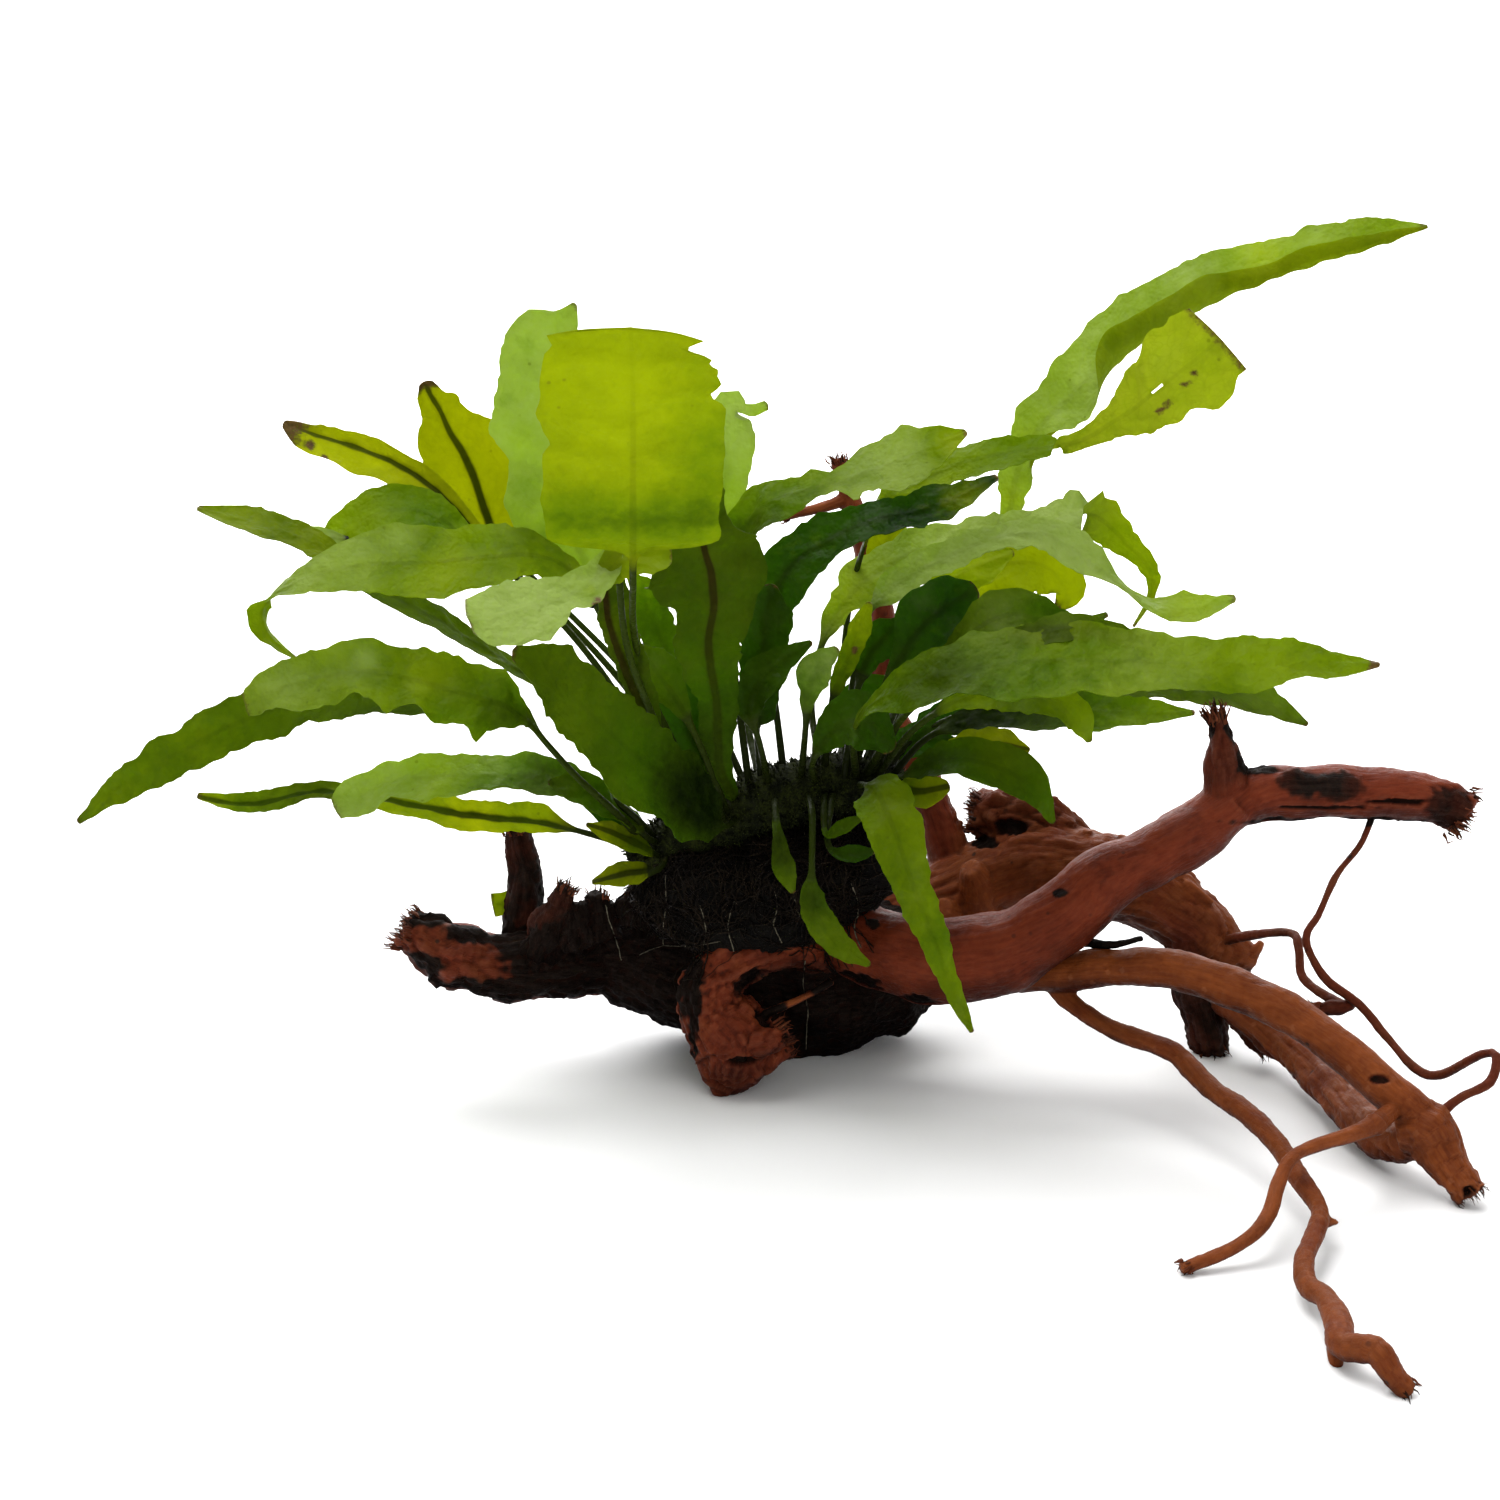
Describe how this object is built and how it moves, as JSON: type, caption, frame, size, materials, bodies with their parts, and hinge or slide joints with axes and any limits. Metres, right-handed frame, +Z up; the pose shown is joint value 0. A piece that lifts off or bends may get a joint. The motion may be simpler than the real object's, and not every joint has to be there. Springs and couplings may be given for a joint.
{
  "type": "java fern on driftwood",
  "caption": "Water fern with long wavy leaves on a creeping rhizome, grown with its roots onto a branched red-brown piece of driftwood that rests on its trunk and roots.",
  "frame": {"origin": "on the floor, in the flat underside of the trunk that the wood rests on", "axes": "+Z up, -Y towards the front of the piece, +X to the right along its length"},
  "size_m": [0.2406, 0.1548, 0.1532],
  "materials": {
    "red_bark": "smooth red-brown bark with dark patches, satin",
    "tan_bark": "orange-brown bark with fine grain, satin",
    "dark_bark": "near-black rough wet bark",
    "leaf": "thin green leaf, slightly glossy, lime where lit through",
    "dark_leaf": "thin dark green leaf, slightly glossy",
    "rhizome": "olive mossy rhizome, matte",
    "hair_roots": "black hair-like roots, matte"
  },
  "bodies": {
    "root": {"trunk": "dark_bark", "left_limb_end": "dark_bark", "grey_upright_stub": "dark_bark", "frayed_peg": "red_bark", "front_stump": "red_bark", "main_branch": "red_bark", "branch_tip": "red_bark", "branch_spur": "red_bark", "back_limb": "tan_bark", "back_knot": "tan_bark", "tall_back_branch": "tan_bark", "down_stub": "dark_bark", "lower_root_front": "tan_bark", "lower_root_back": "tan_bark", "root_elbow": "tan_bark", "long_front_root": "tan_bark", "side_rootlet": "tan_bark", "thin_loop_root": "tan_bark", "thin_hook_root": "tan_bark", "rhizome": "rhizome", "root_mat": "hair_roots", "near_broad_leaf": "leaf", "pale_near_leaf": "leaf", "front_left_blade": "dark_leaf", "long_left_leaf": "leaf", "low_folded_leaf": "leaf", "low_thin_leaf": "leaf", "large_left_leaf": "leaf", "thin_left_leaf": "leaf", "short_arch_leaf": "leaf", "brown_tip_leaf": "leaf", "knob_tip_leaf": "leaf", "broad_bluish_leaf": "leaf", "back_hook_leaf": "leaf", "centre_upright_leaf": "leaf", "green_arch_leaf": "leaf", "yellow_green_leaf": "leaf", "high_right_leaf": "leaf", "bitten_leaf": "leaf", "twisted_right_leaf": "leaf", "dark_arch_leaf": "dark_leaf", "pale_arch_leaf": "leaf", "pale_droop_leaf": "leaf", "round_hanging_leaf": "leaf", "back_small_leaf": "leaf", "lime_narrow_leaf": "leaf", "dark_round_leaf": "dark_leaf", "dark_curled_leaf": "dark_leaf", "long_right_leaf": "leaf", "down_hook_leaf": "leaf", "low_right_leaf": "leaf", "far_right_leaf": "leaf", "shadow_leaf": "dark_leaf", "olive_short_leaf": "leaf", "droop_right_leaf": "dark_leaf", "hanging_front_leaf": "leaf", "small_low_leaf": "leaf", "small_bluish_leaf": "leaf", "dark_centre_leaf": "dark_leaf", "dark_upright_leaf": "dark_leaf"}
  },
  "joints": []
}
